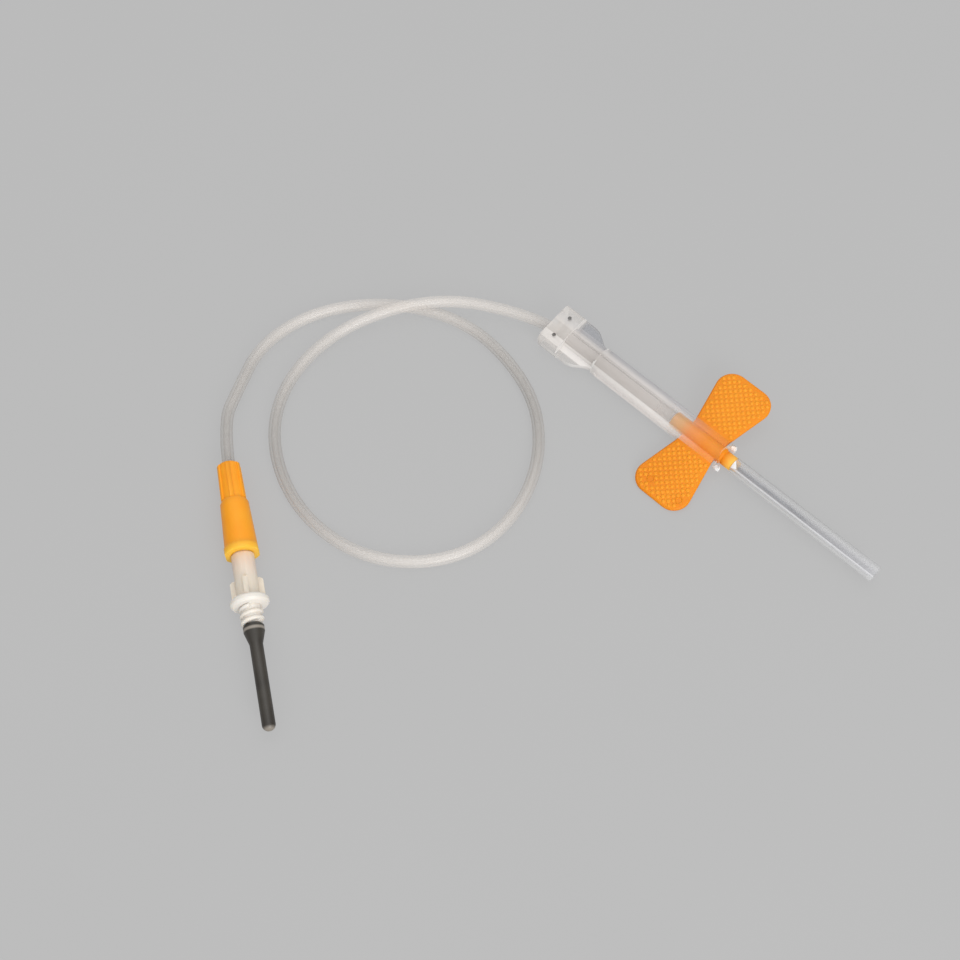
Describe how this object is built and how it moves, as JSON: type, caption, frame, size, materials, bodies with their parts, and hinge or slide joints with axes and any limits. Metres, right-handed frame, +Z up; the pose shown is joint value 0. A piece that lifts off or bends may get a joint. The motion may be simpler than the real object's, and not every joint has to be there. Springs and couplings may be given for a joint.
{
  "type": "winged infusion set",
  "caption": "Winged needle set of the safety kind: finger wings, sliding clear shield, capped fine needle, looped soft tubing, luer hub and rubber-sleeved adapter.",
  "frame": {"origin": "middle of the needle end's box in plan, at the height of the table it lies on", "axes": "+X along the front needle towards the cover's closed end, +Y to the left of it, +Z up"},
  "size_m": [0.1357, 0.1274, 0.0084],
  "materials": {
    "clear_shield": "clear moulded polypropylene",
    "orange_wings": "satin orange moulding",
    "needle_steel": "bright drawn tube",
    "clear_cover": "clear polyethylene",
    "soft_tubing": "soft clear vinyl",
    "orange_luer": "light orange moulding",
    "white_adapter": "natural white moulding",
    "black_rubber": "dark grey rubber"
  },
  "bodies": {
    "line": {"wing_hub": "orange_wings", "needle": "needle_steel", "tubing": "soft_tubing", "luer_hub": "orange_luer"},
    "shield": {"shield": "clear_shield"},
    "cover": {"needle_cover": "clear_cover"},
    "adapter": {"luer_adapter": "white_adapter", "rear_needle": "needle_steel", "rubber_sleeve": "black_rubber"}
  },
  "joints": [
    {"name": "shield_slide", "type": "slide", "parent": "line", "child": "shield", "axis": [1, 0, 0], "range_m": [0, 0.0237]},
    {"name": "cover_pull", "type": "slide", "parent": "line", "child": "cover", "axis": [1, 0, 0], "range_m": [0, 0.04]},
    {"name": "adapter_pull", "type": "slide", "parent": "line", "child": "adapter", "axis": [0.824, -0.5663, 0.0171], "range_m": [0, 0.012]}
  ]
}
